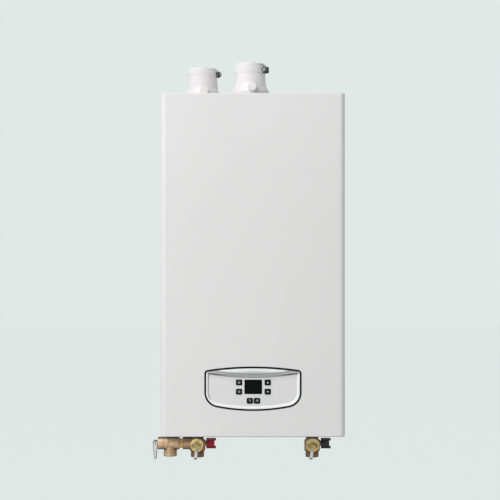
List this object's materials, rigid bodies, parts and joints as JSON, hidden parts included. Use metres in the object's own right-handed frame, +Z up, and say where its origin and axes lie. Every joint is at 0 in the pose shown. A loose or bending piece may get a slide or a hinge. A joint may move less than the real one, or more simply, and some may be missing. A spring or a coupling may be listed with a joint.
{
  "type": "tankless water heater",
  "caption": "Wall-hung tankless water heater with a lift-off cover, control panel, flue collars, isolation valves and a pressure relief valve.",
  "frame": {"origin": "on the wall plane, at the middle of the wall bracket's four screw holes", "axes": "+X to the right seen from the front, -Y to the front, +Z up"},
  "size_m": [0.4775, 0.3118, 0.9985],
  "materials": {
    "galvanised": "zinc coated sheet, matt",
    "casing_white": "satin white paint",
    "cover_white": "satin white paint",
    "seal_black": "soft black rubber",
    "screw_steel": "plated steel",
    "bezel_white": "satin white plastic",
    "lcd_glass": "gloss black window",
    "key_black": "satin black plastic",
    "board_green": "lacquered board",
    "box_plastic": "satin grey plastic",
    "collar_white": "satin white paint",
    "clamp_steel": "white paint on steel",
    "clamp_screw_steel": "dark plated steel",
    "plug_white": "satin white plastic",
    "stainless": "brushed stainless steel",
    "copper": "bare copper",
    "cast_aluminium": "as cast",
    "fan_plastic": "moulded plastic",
    "motor_black": "black plastic",
    "ceramic": "glazed ceramic",
    "valve_bronze": "cast brass, dull",
    "nut_brass": "turned brass",
    "bonnet_brass": "bright turned brass",
    "seat_white": "seat plastic",
    "ball_chrome": "plated ball",
    "lever_steel": "plated steel",
    "knob_red": "dark red plastic",
    "knob_black": "black plastic",
    "nipple_brass": "yellow brass",
    "relief_bronze": "cast brass, dull",
    "stem_steel": "stainless steel",
    "relief_lever_steel": "polished stainless steel"
  },
  "bodies": {
    "casing": {"wall_bracket": "galvanised", "casing_brackets": "galvanised", "rear_casing": "casing_white", "base_plate": "galvanised", "casing_screws": "screw_steel", "panel_bezel": "bezel_white", "lcd_window": "lcd_glass", "panel_board": "board_green", "control_box": "box_plastic", "control_board": "board_green", "chassis_rails": "galvanised", "exhaust_collar": "collar_white", "intake_collar": "collar_white", "vent_seals": "seal_black", "clamp_bands": "clamp_steel", "exhaust_duct": "stainless", "secondary_exchanger": "stainless", "primary_exchanger": "copper", "burner_box": "galvanised", "fan_housing": "cast_aluminium", "fan_motor": "motor_black", "gas_valve": "cast_aluminium", "gas_pipe": "galvanised", "cold_pipe": "copper", "hot_pipe": "copper", "flow_sensor": "box_plastic", "condensate_trap": "box_plastic", "ignitor": "ceramic", "hot_valve_body": "valve_bronze", "cold_valve_body": "valve_bronze", "union_nuts": "nut_brass", "valve_bonnets": "bonnet_brass", "valve_seats": "seat_white", "purge_stems": "nut_brass", "relief_nipple": "nipple_brass", "relief_body": "relief_bronze", "relief_bonnet": "relief_bronze", "relief_spring": "stem_steel", "cable_gland": "motor_black"},
    "cover": {"front_cover": "cover_white", "cover_seals": "seal_black"},
    "hot_handle": {"hot_valve_ball": "ball_chrome", "hot_lever": "lever_steel"},
    "cold_handle": {"cold_valve_ball": "ball_chrome", "cold_lever": "lever_steel"},
    "hot_purge": {"hot_purge_knob": "knob_red"},
    "cold_purge": {"cold_purge_knob": "knob_black"},
    "relief_rod": {"relief_stem": "stem_steel"},
    "relief_handle": {"relief_lever": "relief_lever_steel"},
    "impeller": {"fan_impeller": "fan_plastic"},
    "exhaust_plug": {"exhaust_test_plug": "plug_white"},
    "intake_plug": {"intake_test_plug": "plug_white"},
    "exhaust_worm": {"exhaust_clamp_screw": "clamp_screw_steel"},
    "intake_worm": {"intake_clamp_screw": "clamp_screw_steel"},
    "power_button": {"power_key": "key_black"},
    "menu_button": {"menu_key": "key_black"},
    "up_button": {"up_key": "key_black"},
    "down_button": {"down_key": "key_black"},
    "water_button": {"water_key": "key_black"},
    "service_button": {"service_key": "key_black"}
  },
  "joints": [
    {"name": "cover_slide", "type": "slide", "parent": "casing", "child": "cover", "axis": [0, -1, 0], "range_m": [0, 0.35]},
    {"name": "hot_lever_turn", "type": "hinge", "parent": "casing", "child": "hot_handle", "pos_m": [-0.14, -0.21, -0.789], "axis": [0, 1, 0], "range_deg": [-5, 85]},
    {"name": "cold_lever_turn", "type": "hinge", "parent": "casing", "child": "cold_handle", "pos_m": [0.149, -0.21, -0.789], "axis": [0, 1, 0], "range_deg": [-9, 81]},
    {"name": "hot_purge_turn", "type": "hinge", "parent": "casing", "child": "hot_purge", "pos_m": [-0.105, -0.21, -0.789], "axis": [1, 0, 0], "range_deg": [0, 90]},
    {"name": "cold_purge_turn", "type": "hinge", "parent": "casing", "child": "cold_purge", "pos_m": [0.184, -0.21, -0.789], "axis": [1, 0, 0], "range_deg": [0, 90]},
    {"name": "relief_lift", "type": "slide", "parent": "casing", "child": "relief_rod", "axis": [-1, 0, 0], "range_m": [0, 0.002], "stiffness_N_per_m": 800, "springref_m": -0.003, "deforming": ["relief_spring"]},
    {"name": "relief_lever_turn", "type": "hinge", "parent": "relief_rod", "child": "relief_handle", "pos_m": [-0.2462, -0.21, -0.789], "axis": [0, 1, 0], "range_deg": [0, 80]},
    {"name": "fan_spin", "type": "hinge", "parent": "casing", "child": "impeller", "pos_m": [-0.04, -0.12, -0.56], "axis": [0, 1, 0], "continuous": true},
    {"name": "power_press", "type": "slide", "parent": "casing", "child": "power_button", "axis": [0, 1, 0], "range_m": [0, 0.001], "stiffness_N_per_m": 1500, "springref_m": -0.0002},
    {"name": "menu_press", "type": "slide", "parent": "casing", "child": "menu_button", "axis": [0, 1, 0], "range_m": [0, 0.001], "stiffness_N_per_m": 1500, "springref_m": -0.0002},
    {"name": "up_press", "type": "slide", "parent": "casing", "child": "up_button", "axis": [0, 1, 0], "range_m": [0, 0.001], "stiffness_N_per_m": 1500, "springref_m": -0.0002},
    {"name": "down_press", "type": "slide", "parent": "casing", "child": "down_button", "axis": [0, 1, 0], "range_m": [0, 0.001], "stiffness_N_per_m": 1500, "springref_m": -0.0002},
    {"name": "water_press", "type": "slide", "parent": "casing", "child": "water_button", "axis": [0, 1, 0], "range_m": [0, 0.001], "stiffness_N_per_m": 1500, "springref_m": -0.0002},
    {"name": "service_press", "type": "slide", "parent": "casing", "child": "service_button", "axis": [0, 1, 0], "range_m": [0, 0.001], "stiffness_N_per_m": 1500, "springref_m": -0.0002},
    {"name": "exhaust_plug_pull", "type": "slide", "parent": "casing", "child": "exhaust_plug", "axis": [0.0872, -0.9962, 0], "range_m": [0, 0.03]},
    {"name": "exhaust_worm_turn", "type": "hinge", "parent": "casing", "child": "exhaust_worm", "pos_m": [-0.09316, -0.0855, 0.159], "axis": [0.5736, -0.8192, 0], "continuous": true},
    {"name": "intake_plug_pull", "type": "slide", "parent": "casing", "child": "intake_plug", "axis": [0.0872, -0.9962, 0], "range_m": [0, 0.03]},
    {"name": "intake_worm_turn", "type": "hinge", "parent": "casing", "child": "intake_worm", "pos_m": [0.03379, -0.21169, 0.1517], "axis": [-0.4695, -0.8829, 0], "continuous": true}
  ],
  "couplings": [
    {"joint": "relief_lever_turn", "follows": "relief_lift", "rad_per_m": 666.67}
  ]
}
